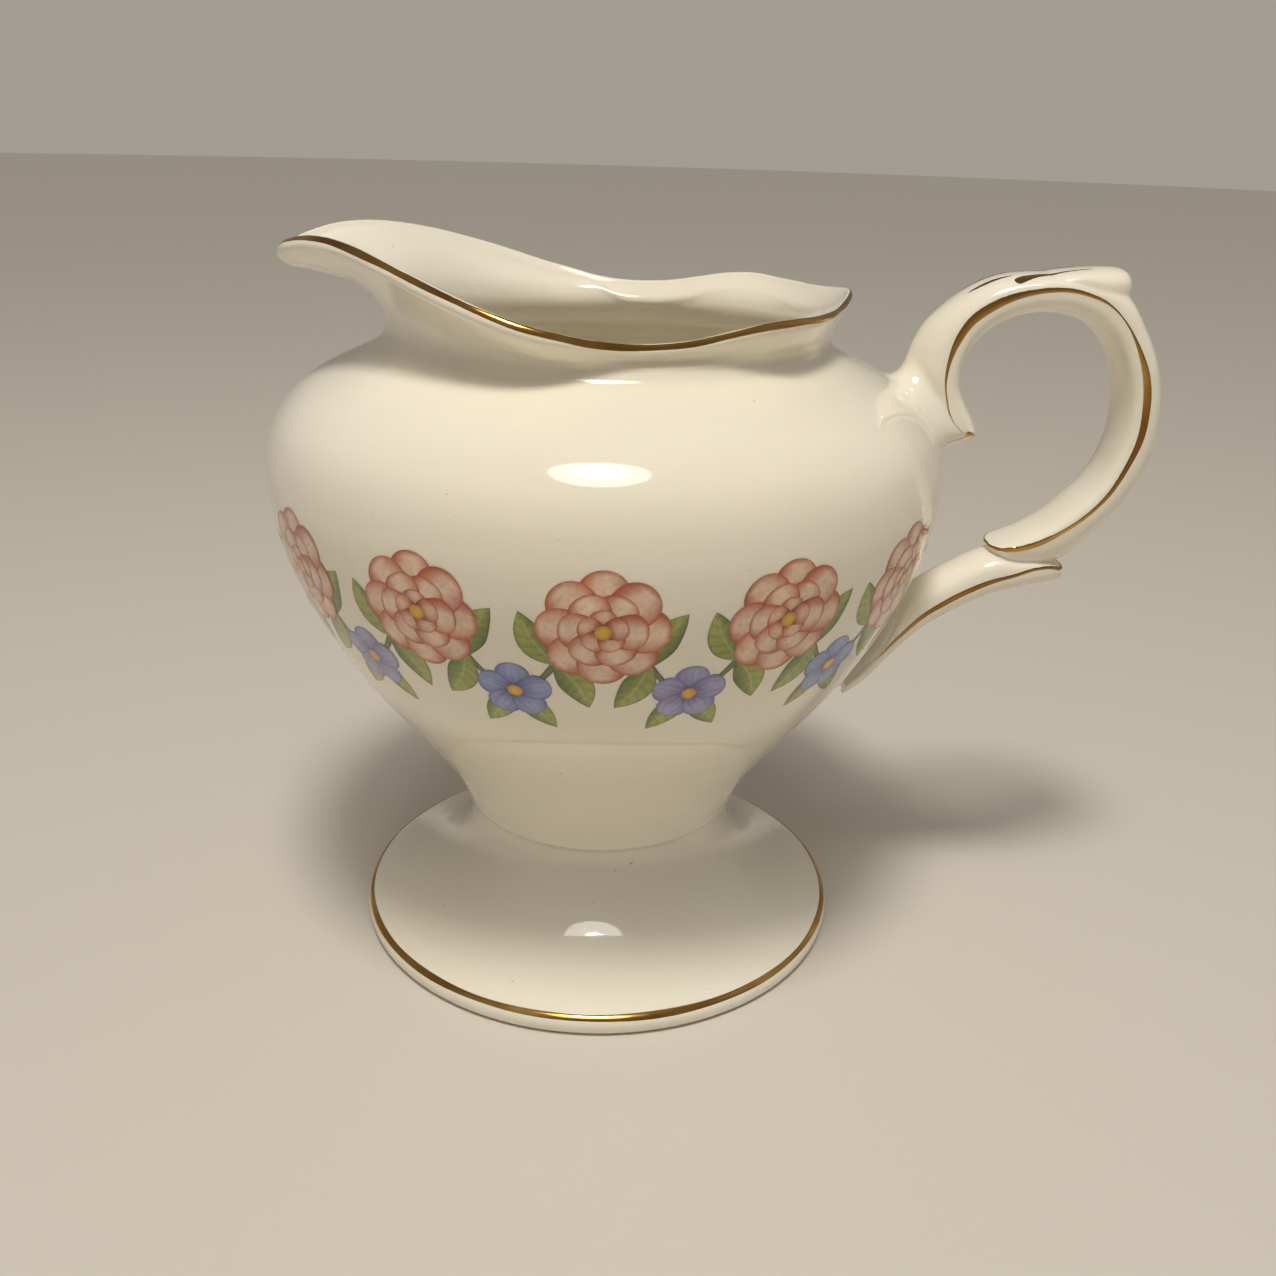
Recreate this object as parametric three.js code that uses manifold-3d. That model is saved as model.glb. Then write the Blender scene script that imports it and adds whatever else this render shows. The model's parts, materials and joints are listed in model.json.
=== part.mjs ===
// Footed porcelain cream jug: slip-cast bowl with pulled spout, luted pedestal foot, cast scroll handle, gilt lines.
// Millimetres, +Z up, resting on the foot ring at z = 0. Spout towards -X, handle towards +X.
import * as THREE from 'three';
import Module from 'manifold-3d';

const wasm = await Module();
wasm.setup();
const { Manifold, Mesh } = wasm;

// ---- driving dimensions (mm) ----
const AXIS_X = -15.35;        // jug axis, placed so that the overall box is centred on x = 0
const SEGMENTS = 72;          // facets round the jug
const WALL = 2.3;             // wall of the bowl
const FLOOR = 2.8;            // floor of the bowl
const SEAM_Z = 19.6;          // height of the joint between bowl and foot
const FOOT_RADIUS = 36.6;
const NECK_RADIUS = 30.2;
const NECK_Z = 89.6;
const GAP = 0.15;             // clearance at the luted handle joints
const GILT = 0.22;            // thickness of a gilt line
const GILT_LIFT = 0.04;       // a gilt line stands this far off the glaze
const HANDLE_RING = 16;       // facets round the handle

// outer profile of the bowl, radius and height, from the joint with the foot up to the neck
const BOWL = [
  [20.4, SEAM_Z], [21.0, 21.4], [22.4, 24.4], [24.2, 27.4], [26.6, 30.8], [29.3, 34.4], [32.4, 38.4], [35.5, 42.6],
  [38.3, 46.9], [40.7, 51.2], [42.8, 55.6], [44.5, 60.0], [45.8, 64.6], [46.5, 69.0], [46.6, 72.2], [46.2, 75.4],
  [45.1, 78.4], [43.2, 81.0], [40.8, 83.1], [38.0, 84.7], [35.2, 86.0], [32.8, 87.2], [31.0, 88.4], [NECK_RADIUS, NECK_Z],
];
// crest of the lip: bearing from the handle (degrees), radius, height
const LIP = [
  [0, 32.3, 96.0], [10, 31.6, 95.5], [20, 31.2, 95.1], [30, 31.6, 95.0], [38, 32.0, 95.0], [47, 32.3, 95.15],
  [55, 31.6, 94.8], [63, 30.7, 94.0], [71, 30.3, 93.2], [79, 30.2, 92.85], [86, 30.4, 92.85], [94, 31.4, 93.3],
  [100, 32.7, 94.1], [107, 33.9, 95.1], [114, 34.5, 96.4], [121, 34.7, 97.7], [129, 34.7, 99.0], [138, 34.9, 100.3],
  [148, 35.6, 101.4], [157, 37.0, 102.0], [165, 39.3, 101.9], [173, 41.9, 100.9], [180, 43.1, 99.9],
];
// outside then inside profile of the pedestal foot
const FOOT = [
  [17.2, SEAM_Z], [19.7, SEAM_Z], [19.5, 18.4], [19.8, 16.6], [20.9, 13.6], [23.0, 10.6], [26.2, 7.9], [30.2, 5.6],
  [33.6, 4.0], [35.6, 3.1], [36.4, 2.4], [FOOT_RADIUS, 1.5], [36.3, 0.5], [35.6, 0], [33.4, 0], [32.4, 0.9],
  [30.0, 2.5], [25.8, 4.9], [22.0, 7.8], [19.3, 11.4], [17.7, 15.2],
];
// handle loop from the upper root over the top to the scroll end:
// outer edge x z, widest ridge x z, inner edge x z (x measured from the jug axis), half width
const LOOP = [
  [37.94, 82.76, 39.75, 78.97, 44.3, 73.0, 6.6], [39.46, 84.33, 42.27, 80.46, 47.4, 74.6, 6.2],
  [40.71, 85.74, 45.21, 79.86, 49.9, 75.6, 5.3], [41.24, 87.27, 49.2, 77.5, 51.65, 77.0, 4.6],
  [41.64, 88.64, 47.5, 79.2, 51.47, 78.2, 4.8], [42.08, 89.74, 46.3, 81.8, 49.95, 80.9, 4.8],
  [42.64, 90.84, 45.8, 84.4, 48.8, 83.15, 4.8], [43.59, 92.21, 45.99, 87.35, 48.71, 86.22, 4.8],
  [44.82, 93.44, 46.75, 90.04, 49.53, 88.59, 4.8], [46.94, 95.23, 48.42, 92.85, 51.34, 90.83, 4.8],
  [49.58, 97.01, 51.35, 95.01, 54.16, 92.66, 4.8], [52.69, 98.28, 54.26, 96.25, 57.1, 93.48, 4.8],
  [56.7, 98.84, 57.73, 97.0, 60.14, 93.63, 4.9], [60.78, 98.88, 61.06, 97.09, 63.3, 93.03, 4.9],
  [65.24, 98.34, 64.12, 96.39, 65.56, 92.0, 4.9], [68.54, 97.51, 66.59, 95.29, 67.52, 90.28, 4.9],
  [70.93, 95.58, 68.81, 93.39, 69.1, 88.39, 4.9], [73.0, 92.56, 70.57, 91.06, 69.99, 86.47, 4.9],
  [74.81, 89.48, 72.18, 88.16, 70.68, 84.53, 4.9], [76.3, 85.93, 73.22, 85.48, 71.18, 82.43, 4.9],
  [77.17, 81.61, 73.84, 82.07, 71.48, 79.87, 4.9], [77.31, 76.61, 73.81, 77.61, 71.27, 76.4, 4.9],
  [76.54, 72.08, 72.69, 73.61, 70.41, 72.87, 4.9], [74.66, 67.88, 70.73, 69.38, 68.59, 69.71, 4.9],
  [72.03, 64.35, 68.11, 66.24, 66.21, 67.1, 4.9], [69.57, 61.39, 65.09, 63.77, 63.64, 64.61, 4.8],
  [66.88, 58.71, 61.96, 61.9, 61.0, 62.95, 4.6], [62.89, 57.53, 59.1, 60.95, 58.9, 61.8, 4.35],
  [60.0, 57.4, 57.4, 60.68, 57.3, 61.15, 3.85], [58.2, 57.9, 56.4, 60.56, 56.4, 60.86, 3.0],
  [57.2, 58.3, 55.9, 60.5, 55.92, 60.7, 1.9], [56.6, 58.7, 55.7, 60.45, 55.75, 60.6, 0.8],
];
// lower strut from its rolled tip down to its root on the bowl: top x z, ridge x z, underside x z, half width
const STRUT = [
  [67.39, 57.32, 66.41, 57.66, 67.24, 55.43, 2.6], [65.62, 58.21, 64.58, 58.1, 65.82, 54.93, 3.6],
  [63.3, 58.78, 62.1, 57.85, 63.49, 54.49, 4.2], [59.81, 59.33, 59.27, 56.86, 60.27, 53.94, 4.4],
  [56.8, 59.64, 56.19, 55.87, 57.08, 53.16, 4.4], [54.11, 58.73, 53.02, 54.41, 53.96, 51.75, 4.4],
  [51.2, 57.12, 49.74, 52.48, 50.59, 49.84, 4.4], [48.27, 55.49, 46.62, 50.22, 47.23, 47.51, 4.4],
  [45.81, 53.55, 43.79, 47.39, 44.48, 45.02, 4.6], [44.03, 50.66, 41.19, 44.61, 41.88, 42.17, 5.0],
  [42.23, 46.27, 38.75, 41.9, 39.41, 39.3, 5.2], [39.9, 42.13, 36.53, 39.49, 37.01, 37.08, 4.6],
  [38.19, 39.28, 35.79, 37.99, 36.16, 36.22, 3.4],
];
// thumb rest on top of the loop: top x z, underside x z, half width
const THUMB = [
  [57.54, 98.66, 58.36, 96.95, 2.8], [60.19, 99.19, 60.99, 96.68, 4.2],
  [62.87, 99.52, 63.43, 96.55, 4.5], [65.2, 99.72, 66.0, 95.2, 4.5],
  [67.2, 99.8, 68.0, 94.9, 4.2], [68.5, 99.7, 69.3, 95.1, 3.6],
  [69.4, 99.4, 70.0, 95.6, 2.8], [70.0, 98.85, 70.3, 96.4, 1.9], [70.4, 98.1, 70.45, 97.1, 0.9],
];

// ---- materials ----
const glaze = new THREE.MeshStandardMaterial({ color: 0xf1ead9, roughness: 0.12, metalness: 0 });
const gilt = new THREE.MeshStandardMaterial({ color: 0xc9962f, roughness: 0.22, metalness: 1 });

// ---- helpers ----
const rad = (d) => (d * Math.PI) / 180;

// natural-looking curve through rows of numbers, first column the key (periodic over 360, mirrored about 0 and 180)
function lipAt(deg) {
  let a = ((deg % 360) + 360) % 360;
  if (a > 180) a = 360 - a;
  let k = 0;
  while (k < LIP.length - 2 && LIP[k + 1][0] < a) k++;
  const at = (i) => (i < 0 ? [-LIP[-i][0], LIP[-i][1], LIP[-i][2]]
    : i >= LIP.length ? [360 - LIP[2 * LIP.length - 2 - i][0], LIP[2 * LIP.length - 2 - i][1], LIP[2 * LIP.length - 2 - i][2]] : LIP[i]);
  const [p0, p1, p2, p3] = [at(k - 1), at(k), at(k + 1), at(k + 2)];
  const h = p2[0] - p1[0], t = (a - p1[0]) / h;
  return [1, 2].map((c) => {
    const m1 = ((p2[c] - p0[c]) / (p2[0] - p0[0])) * h, m2 = ((p3[c] - p1[c]) / (p3[0] - p1[0])) * h;
    return p1[c] * (2 * t ** 3 - 3 * t * t + 1) + m1 * (t ** 3 - 2 * t * t + t) + p2[c] * (3 * t * t - 2 * t ** 3) + m2 * (t ** 3 - t * t);
  });
}

const smooth = (a, b, x) => { const t = Math.min(1, Math.max(0, (x - a) / (b - a))); return t * t * (3 - 2 * t); };

// outline of the lip at one bearing: points from just above the neck out to the underside of the roll, then the roll
function lipOutline(deg) {
  const [rho, z] = lipAt(deg);
  let a = ((deg % 360) + 360) % 360;
  if (a > 180) a = 360 - a;
  const spout = smooth(85, 125, a), tip = smooth(150, 180, a);
  const under = [rho - 0.5 + 0.3 * tip, z - Math.min(2.7, 0.55 * (z - NECK_Z))];
  const roll = [rho + 0.5 + 0.2 * spout + 0.5 * tip, z - 1.0 - 0.3 * spout];
  const flare = Math.max(0, under[0] - NECK_RADIUS), len = Math.hypot(under[0] - NECK_RADIUS, under[1] - NECK_Z);
  const beta = rad(Math.max(12, 68 - 4.9 * flare));
  const p0 = [NECK_RADIUS, NECK_Z], p1 = [NECK_RADIUS - 0.08 * len, NECK_Z + 0.38 * len];
  const p2 = [under[0] - 0.42 * len * Math.cos(beta), under[1] - 0.42 * len * Math.sin(beta)], p3 = under;
  const neck = [0.25, 0.5, 0.75, 1].map((t) => [0, 1].map((c) => (1 - t) ** 3 * p0[c] + 3 * t * (1 - t) ** 2 * p1[c] + 3 * t * t * (1 - t) * p2[c] + t ** 3 * p3[c]));
  return { neck, roll, crest: [rho, z] };
}

// closed profile of the bowl at one bearing, starting and ending on the axis
function bowlProfile(deg) {
  const { neck, roll, crest } = lipOutline(deg);
  const outside = [...BOWL, ...neck];
  const offset = (i) => {
    const a = outside[Math.max(0, i - 1)], b = outside[Math.min(outside.length - 1, i + 1)];
    const dx = b[0] - a[0], dz = b[1] - a[1], l = Math.hypot(dx, dz);
    return [outside[i][0] - (dz / l) * WALL, outside[i][1] + (dx / l) * WALL];
  };
  const top = outside.length - 1;
  const inside = [];
  for (const i of [top - 1, top - 2, top - 3, top - 4, top - 6, top - 8, top - 9, top - 11, top - 13, top - 15, top - 17, top - 19, top - 21, top - 23, top - 25]) inside.push(offset(i));
  return [
    [0, SEAM_Z + 0.9], [14.5, SEAM_Z + 0.9], [16.8, SEAM_Z], ...outside, roll, crest, [crest[0] - 1.0, crest[1] - 0.9],
    ...inside, [13.0, SEAM_Z + 0.9 + FLOOR], [0, SEAM_Z + 0.4 + FLOOR],
  ];
}

function geometryOf(points, faces) {
  const g = new THREE.BufferGeometry();
  g.setAttribute('position', new THREE.Float32BufferAttribute(points.flat(), 3));
  g.setIndex(faces.flat());
  g.computeVertexNormals();
  return g;
}

// sweeps a profile that may change with bearing round the jug axis; open profiles start and end on the axis
function turned(profileAt, closed) {
  const points = [], faces = [], rows = profileAt(0).length;
  const index = [];
  for (let i = 0; i < SEGMENTS; i++) {
    const deg = (360 * i) / SEGMENTS, c = Math.cos(rad(deg)), s = Math.sin(rad(deg));
    const prof = profileAt(deg);
    index.push(prof.map(([r, z], j) => {
      if (!closed && (j === 0 || j === rows - 1) && i > 0) return index[0][j];
      points.push([AXIS_X + r * c, r * s, z]);
      return points.length - 1;
    }));
  }
  const last = closed ? rows : rows - 1;
  for (let i = 0; i < SEGMENTS; i++) {
    const a = index[i], b = index[(i + 1) % SEGMENTS];
    for (let j = 0; j < last; j++) {
      const k = (j + 1) % rows;
      if (a[j] !== b[j]) faces.push([a[j], b[j], b[k]]);
      if (a[k] !== b[k]) faces.push([a[j], b[k], a[k]]);
    }
  }
  return { points, faces };
}

// a ring of points through outer edge, ridge and inner edge; y is the width direction
function section([ox, oz, gx, gz, ix, iz, w], n, outerPower, innerPower) {
  const ring = [];
  for (let k = 0; k < n; k++) {
    const t = (2 * Math.PI * k) / n, c = Math.cos(t), s = Math.sin(t);
    const f = Math.abs(c) < 1e-9 ? 0 : Math.abs(c) ** (c > 0 ? outerPower : innerPower);
    const [ex, ez] = c > 0 ? [ox, oz] : [ix, iz];
    ring.push([AXIS_X + gx + (ex - gx) * f, w * s, gz + (ez - gz) * f]);
  }
  return ring;
}

function loft(rings) {
  const points = rings.flat(), n = rings[0].length, faces = [];
  for (let i = 0; i + 1 < rings.length; i++) {
    for (let k = 0; k < n; k++) {
      const a = i * n + k, b = i * n + ((k + 1) % n);
      faces.push([a, b, b + n], [a, b + n, a + n]);
    }
  }
  for (const [first, flip] of [[0, true], [(rings.length - 1) * n, false]]) {
    const mid = [0, 1, 2].map((c) => points.slice(first, first + n).reduce((q, p) => q + p[c], 0) / n);
    points.push(mid);
    for (let k = 0; k < n; k++) {
      const a = first + k, b = first + ((k + 1) % n);
      faces.push(flip ? [b, a, points.length - 1] : [a, b, points.length - 1]);
    }
  }
  return { points, faces };
}

function volumeOf({ points, faces }) {
  let v = 0;
  for (const [a, b, c] of faces) {
    const [p, q, r] = [points[a], points[b], points[c]];
    v += p[0] * (q[1] * r[2] - q[2] * r[1]) - p[1] * (q[0] * r[2] - q[2] * r[0]) + p[2] * (q[0] * r[1] - q[1] * r[0]);
  }
  return v / 6;
}

const facingOut = (shape) => (volumeOf(shape) < 0 ? { points: shape.points, faces: shape.faces.map(([a, b, c]) => [a, c, b]) } : shape);

function solid(shape) {
  const s = facingOut(shape);
  const mesh = new Mesh({ numProp: 3, vertProperties: new Float32Array(s.points.flat()), triVerts: new Uint32Array(s.faces.flat()) });
  mesh.merge();
  return new Manifold(mesh);
}

function geometryOfSolid(m) {
  const mesh = m.getMesh();
  const g = new THREE.BufferGeometry();
  g.setAttribute('position', new THREE.BufferAttribute(new Float32Array(mesh.vertProperties), 3));
  g.setIndex(new THREE.BufferAttribute(new Uint32Array(mesh.triVerts), 1));
  g.computeVertexNormals();
  return g;
}

const group = new THREE.Group();
group.name = 'cream_jug';
function add(name, geometry, material) {
  const mesh = new THREE.Mesh(geometry, material);
  mesh.name = name;
  group.add(mesh);
}
function addShape(name, shape, material) {
  const s = facingOut(shape);
  add(name, geometryOf(s.points, s.faces), material);
}

// ---- bowl with neck, wavy lip and spout ----
addShape('body', turned(bowlProfile, false), glaze);

// ---- hollow pedestal foot ----
addShape('foot', turned(() => FOOT, true), glaze);

// ---- scroll handle: loop, thumb rest and lower strut cast as one ----
const grown = BOWL.map(([r, z], i) => {
  const a = BOWL[Math.max(0, i - 1)], b = BOWL[Math.min(BOWL.length - 1, i + 1)];
  const dx = b[0] - a[0], dz = b[1] - a[1], l = Math.hypot(dx, dz);
  return [r + (dz / l) * GAP, z - (dx / l) * GAP];
});
const cutter = solid(turned(() => [[0, SEAM_Z - 1], ...grown, [0, NECK_Z + 1]], false));
const loopRings = LOOP.map((s) => section(s, HANDLE_RING, 0.85, 0.6));
const strutRings = STRUT.map((s) => section(s, HANDLE_RING, 0.6, 0.7));
const thumbRings = THUMB.map(([tx, tz, bx, bz, w]) => section([tx, tz, (tx + bx) / 2, (tz + bz) / 2, bx, bz, w], 12, 0.8, 0.8));
const handleSolid = solid(loft(loopRings)).add(solid(loft(strutRings))).add(solid(loft(thumbRings))).subtract(cutter);
const handlePieces = handleSolid.decompose().sort((a, b) => b.volume() - a.volume());
add('handle', geometryOfSolid(handlePieces[0]), glaze);

// ---- gilt line round the lip, on the outer flank of its crest ----
addShape('rim_gilding', turned((deg) => {
  const { roll, crest } = lipOutline(deg);
  const l = Math.hypot(roll[0] - crest[0], roll[1] - crest[1]);
  const d = [(roll[0] - crest[0]) / l, (roll[1] - crest[1]) / l], n = [-d[1], d[0]];
  const at = (w, h) => [crest[0] + d[0] * l * w + n[0] * h, crest[1] + d[1] * l * w + n[1] * h];
  return [at(0.1, GILT_LIFT), at(0.88, GILT_LIFT), at(0.82, GILT_LIFT + GILT), at(0.16, GILT_LIFT + GILT)];
}, true), gilt);

// ---- gilt line round the foot, just inside its rounded edge ----
addShape('foot_gilding', turned(() => {
  const [a, b] = [[36.4, 2.4], [35.6, 3.1]];
  const l = Math.hypot(b[0] - a[0], b[1] - a[1]), d = [(b[0] - a[0]) / l, (b[1] - a[1]) / l], n = [-d[1], d[0]];
  const s = n[0] < 0 ? -1 : 1;
  const at = (w, h) => [a[0] + d[0] * w + s * n[0] * h, a[1] + d[1] * w + s * n[1] * h];
  return [at(0.08, GILT_LIFT), at(0.92, GILT_LIFT), at(0.86, GILT_LIFT + GILT), at(0.14, GILT_LIFT + GILT)];
}, true), gilt);

// ---- gilt lines along both side ridges of the loop and the strut ----
function ridgeLine(stations, from, to, side, halfHeight) {
  const rings = [];
  for (let i = from; i <= to; i++) {
    const [ox, oz, gx, gz, ix, iz, w] = stations[i];
    const l = Math.hypot(ox - ix, oz - iz), ux = (ox - ix) / l, uz = (oz - iz) / l;
    const y0 = side * (w + GILT_LIFT), y1 = side * (w + GILT_LIFT + GILT);
    const h = halfHeight(i);
    rings.push([
      [AXIS_X + gx - ux * h, y0, gz - uz * h], [AXIS_X + gx + ux * h, y0, gz + uz * h],
      [AXIS_X + gx + ux * h * 0.8, y1, gz + uz * h * 0.8], [AXIS_X + gx - ux * h * 0.8, y1, gz - uz * h * 0.8],
    ]);
  }
  return loft(rings);
}
const LOOP_HEIGHT = [
  0.3, 0.3, 0.3, 0.28, 0.26, 0.26, 0.28, 0.38, 0.52, 0.58, 0.58, 0.5, 0.42, 0.38, 0.28, 0.18, 0.16, 0.24, 0.42, 0.54, 0.58,
  0.54, 0.42, 0.34, 0.3, 0.34, 0.5, 0.56, 0.5, 0.4,
];
const loopHeight = (i) => LOOP_HEIGHT[i];
addShape('loop_gilding_near', ridgeLine(LOOP, 3, 29, -1, loopHeight), gilt);
addShape('loop_gilding_far', ridgeLine(LOOP, 3, 29, 1, loopHeight), gilt);
addShape('strut_gilding_near', ridgeLine(STRUT, 0, 9, -1, () => 0.38), gilt);
addShape('strut_gilding_far', ridgeLine(STRUT, 0, 9, 1, () => 0.38), gilt);

export default group;
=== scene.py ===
import json
import math

import bmesh
import bpy
import numpy as np
from mathutils import Vector
from mathutils.bvhtree import BVHTree
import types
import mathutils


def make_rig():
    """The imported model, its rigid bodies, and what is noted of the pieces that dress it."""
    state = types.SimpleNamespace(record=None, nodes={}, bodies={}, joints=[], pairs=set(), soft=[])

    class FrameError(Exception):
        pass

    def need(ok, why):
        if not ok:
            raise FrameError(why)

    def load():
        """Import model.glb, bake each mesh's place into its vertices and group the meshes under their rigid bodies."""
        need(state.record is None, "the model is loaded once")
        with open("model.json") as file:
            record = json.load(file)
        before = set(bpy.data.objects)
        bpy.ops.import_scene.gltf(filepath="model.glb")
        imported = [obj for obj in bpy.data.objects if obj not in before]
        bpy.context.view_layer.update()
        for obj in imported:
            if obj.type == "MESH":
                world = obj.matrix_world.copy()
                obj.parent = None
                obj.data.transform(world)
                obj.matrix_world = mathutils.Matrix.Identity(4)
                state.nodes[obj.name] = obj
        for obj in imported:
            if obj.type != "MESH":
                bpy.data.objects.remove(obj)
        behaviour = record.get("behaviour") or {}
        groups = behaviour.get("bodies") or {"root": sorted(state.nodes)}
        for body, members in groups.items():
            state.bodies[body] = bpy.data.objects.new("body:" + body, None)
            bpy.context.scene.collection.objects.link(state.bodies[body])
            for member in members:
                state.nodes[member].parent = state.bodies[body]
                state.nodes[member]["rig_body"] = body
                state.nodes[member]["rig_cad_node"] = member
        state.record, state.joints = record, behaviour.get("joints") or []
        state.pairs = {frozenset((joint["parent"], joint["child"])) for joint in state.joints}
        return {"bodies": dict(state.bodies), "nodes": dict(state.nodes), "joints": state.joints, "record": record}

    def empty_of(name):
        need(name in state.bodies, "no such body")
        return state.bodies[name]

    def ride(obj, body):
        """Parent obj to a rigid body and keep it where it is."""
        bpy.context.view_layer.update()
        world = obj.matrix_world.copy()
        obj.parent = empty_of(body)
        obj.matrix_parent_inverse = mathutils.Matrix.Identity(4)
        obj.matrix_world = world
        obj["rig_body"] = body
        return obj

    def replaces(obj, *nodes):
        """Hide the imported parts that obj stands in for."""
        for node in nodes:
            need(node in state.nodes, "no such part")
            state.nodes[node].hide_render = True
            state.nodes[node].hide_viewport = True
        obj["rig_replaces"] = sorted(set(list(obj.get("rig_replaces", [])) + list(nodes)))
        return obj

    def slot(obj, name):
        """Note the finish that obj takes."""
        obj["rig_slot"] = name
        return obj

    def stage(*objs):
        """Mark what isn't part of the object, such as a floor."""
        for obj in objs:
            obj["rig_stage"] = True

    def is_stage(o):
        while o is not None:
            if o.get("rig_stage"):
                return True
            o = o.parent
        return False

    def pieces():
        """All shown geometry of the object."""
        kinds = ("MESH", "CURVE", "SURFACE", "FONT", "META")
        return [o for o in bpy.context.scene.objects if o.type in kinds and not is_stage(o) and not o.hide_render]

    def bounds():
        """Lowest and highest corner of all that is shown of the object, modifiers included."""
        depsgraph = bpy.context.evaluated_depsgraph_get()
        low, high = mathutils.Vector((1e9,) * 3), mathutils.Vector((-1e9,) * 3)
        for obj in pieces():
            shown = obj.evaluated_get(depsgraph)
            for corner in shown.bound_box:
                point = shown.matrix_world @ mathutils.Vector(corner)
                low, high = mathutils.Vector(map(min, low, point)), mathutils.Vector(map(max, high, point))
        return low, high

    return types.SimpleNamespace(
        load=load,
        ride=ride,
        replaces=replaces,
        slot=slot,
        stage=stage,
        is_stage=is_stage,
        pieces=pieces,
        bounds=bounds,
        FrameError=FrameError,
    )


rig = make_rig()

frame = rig.load()
BOUNDS_AT_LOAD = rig.bounds()

# ------------------------------------------------------------------ dimensions, millimetres from the jug axis
AXIS_X = -15.35
WALL = 2.3
SEAM_Z = 19.6
NECK_RADIUS = 30.2
NECK_Z = 89.6
BOWL = np.array([
    [20.4, SEAM_Z], [21.0, 21.4], [22.4, 24.4], [24.2, 27.4], [26.6, 30.8], [29.3, 34.4], [32.4, 38.4], [35.5, 42.6],
    [38.3, 46.9], [40.7, 51.2], [42.8, 55.6], [44.5, 60.0], [45.8, 64.6], [46.5, 69.0], [46.6, 72.2], [46.2, 75.4],
    [45.1, 78.4], [43.2, 81.0], [40.8, 83.1], [38.0, 84.7], [35.2, 86.0], [32.8, 87.2], [31.0, 88.4], [NECK_RADIUS, NECK_Z]])
LIP = np.array([
    [0, 32.3, 96.0], [10, 31.6, 95.5], [20, 31.2, 95.1], [30, 31.6, 95.0], [38, 32.0, 95.0], [47, 32.3, 95.15],
    [55, 31.6, 94.8], [63, 30.7, 94.0], [71, 30.3, 93.2], [79, 30.2, 92.85], [86, 30.4, 92.85], [94, 31.4, 93.3],
    [100, 32.7, 94.1], [107, 33.9, 95.1], [114, 34.5, 96.4], [121, 34.7, 97.7], [129, 34.7, 99.0], [138, 34.9, 100.3],
    [148, 35.6, 101.4], [157, 37.0, 102.0], [165, 39.3, 101.9], [173, 41.9, 100.9], [180, 43.1, 99.9]])
FOOT = np.array([
    [17.2, SEAM_Z], [19.7, SEAM_Z], [19.5, 18.4], [19.8, 16.6], [20.9, 13.6], [23.0, 10.6], [26.2, 7.9], [30.2, 5.6],
    [33.6, 4.0], [35.6, 3.1], [36.4, 2.4], [36.6, 1.5], [36.3, 0.5], [35.6, 0.0], [33.4, 0.0], [32.4, 0.9],
    [30.0, 2.5], [25.8, 4.9], [22.0, 7.8], [19.3, 11.4], [17.7, 15.2]])
LOOP = np.array([
    [37.94, 82.76, 39.75, 78.97, 44.3, 73.0, 6.6], [39.46, 84.33, 42.27, 80.46, 47.4, 74.6, 6.2],
    [40.71, 85.74, 45.21, 79.86, 49.9, 75.6, 5.3], [41.24, 87.27, 49.2, 77.5, 51.65, 77.0, 4.6],
    [41.64, 88.64, 47.5, 79.2, 51.47, 78.2, 4.8], [42.08, 89.74, 46.3, 81.8, 49.95, 80.9, 4.8],
    [42.64, 90.84, 45.8, 84.4, 48.8, 83.15, 4.8], [43.59, 92.21, 45.99, 87.35, 48.71, 86.22, 4.8],
    [44.82, 93.44, 46.75, 90.04, 49.53, 88.59, 4.8], [46.94, 95.23, 48.42, 92.85, 51.34, 90.83, 4.8],
    [49.58, 97.01, 51.35, 95.01, 54.16, 92.66, 4.8], [52.69, 98.28, 54.26, 96.25, 57.1, 93.48, 4.8],
    [56.7, 98.84, 57.73, 97.0, 60.14, 93.63, 4.9], [60.78, 98.88, 61.06, 97.09, 63.3, 93.03, 4.9],
    [65.24, 98.34, 64.12, 96.39, 65.56, 92.0, 4.9], [68.54, 97.51, 66.59, 95.29, 67.52, 90.28, 4.9],
    [70.93, 95.58, 68.81, 93.39, 69.1, 88.39, 4.9], [73.0, 92.56, 70.57, 91.06, 69.99, 86.47, 4.9],
    [74.81, 89.48, 72.18, 88.16, 70.68, 84.53, 4.9], [76.3, 85.93, 73.22, 85.48, 71.18, 82.43, 4.9],
    [77.17, 81.61, 73.84, 82.07, 71.48, 79.87, 4.9], [77.31, 76.61, 73.81, 77.61, 71.27, 76.4, 4.9],
    [76.54, 72.08, 72.69, 73.61, 70.41, 72.87, 4.9], [74.66, 67.88, 70.73, 69.38, 68.59, 69.71, 4.9],
    [72.03, 64.35, 68.11, 66.24, 66.21, 67.1, 4.9], [69.57, 61.39, 65.09, 63.77, 63.64, 64.61, 4.8],
    [66.88, 58.71, 61.96, 61.9, 61.0, 62.95, 4.6], [62.89, 57.53, 59.1, 60.95, 58.9, 61.8, 4.35],
    [60.0, 57.4, 57.4, 60.68, 57.3, 61.15, 3.85], [58.2, 57.9, 56.4, 60.56, 56.4, 60.86, 3.0],
    [57.2, 58.3, 55.9, 60.5, 55.92, 60.7, 1.9], [56.6, 58.7, 55.7, 60.45, 55.75, 60.6, 0.8]])
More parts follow.
